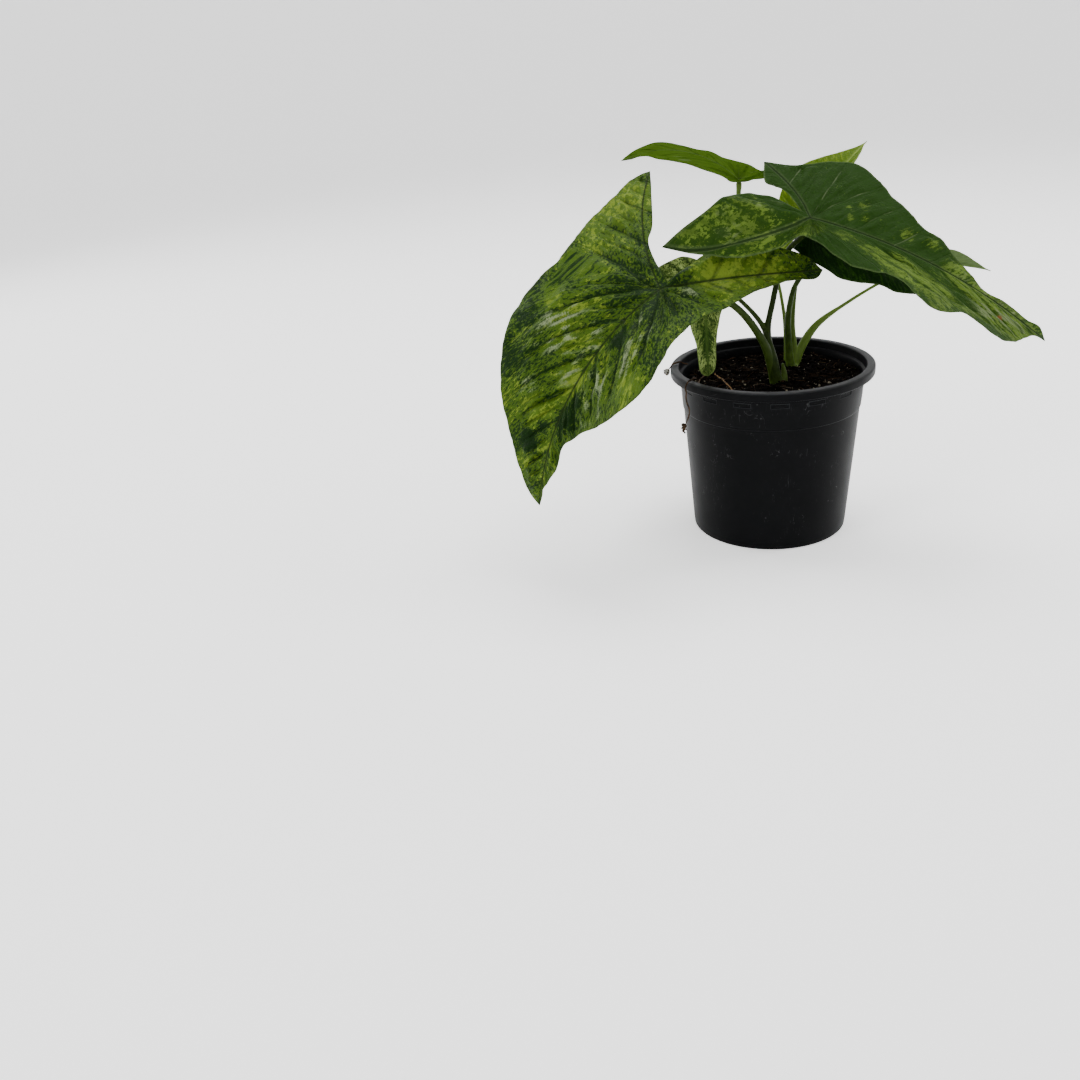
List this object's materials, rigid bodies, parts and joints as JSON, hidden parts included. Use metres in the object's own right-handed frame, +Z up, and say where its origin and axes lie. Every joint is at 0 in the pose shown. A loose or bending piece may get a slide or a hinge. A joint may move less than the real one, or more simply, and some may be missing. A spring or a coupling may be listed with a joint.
{
  "type": "arrowhead plant",
  "caption": "Potted arrowhead plant with large mottled arrowhead leaves on long stalks, in a plain round tapered nursery pot filled with soil.",
  "frame": {"origin": "centre of the pot's flat underside, on the surface that it stands on", "axes": "+Z up along the pot's axis, +X to the right of the usual view, -Y towards the viewer"},
  "size_m": [0.2939, 0.1987, 0.2224],
  "materials": {
    "black_plastic": "moulded, softly satin, with faint scuffs",
    "dark_soil": "rough and crumbly, with pale specks",
    "leaf_mottled": "satin, yellow-green mottled with dark green",
    "leaf_dark": "satin, dark green with a silvery sheen and yellow-green flecks",
    "leaf_rear_green": "satin mid green, lightly mottled",
    "leaf_young_green": "glossy yellow-green",
    "leaf_low_green": "satin, very dark green",
    "leaf_far_green": "satin mid green",
    "leaf_pale": "satin, pale yellow-green with fine dark specks",
    "petiole_dark": "smooth, dark olive green",
    "petiole_green": "smooth, olive to yellow-green",
    "root_brown": "dry and wiry"
  },
  "bodies": {
    "root": {"pot": "black_plastic", "soil": "dark_soil", "leaf_left": "leaf_mottled", "leaf_right": "leaf_dark", "leaf_rear": "leaf_rear_green", "leaf_young": "leaf_young_green", "leaf_low": "leaf_low_green", "leaf_far": "leaf_far_green", "leaf_hanging": "leaf_pale", "shoot_front": "petiole_dark", "shoot_back": "petiole_green", "root_long": "root_brown", "root_on_soil": "root_brown", "root_over_rim": "root_brown"}
  },
  "joints": []
}
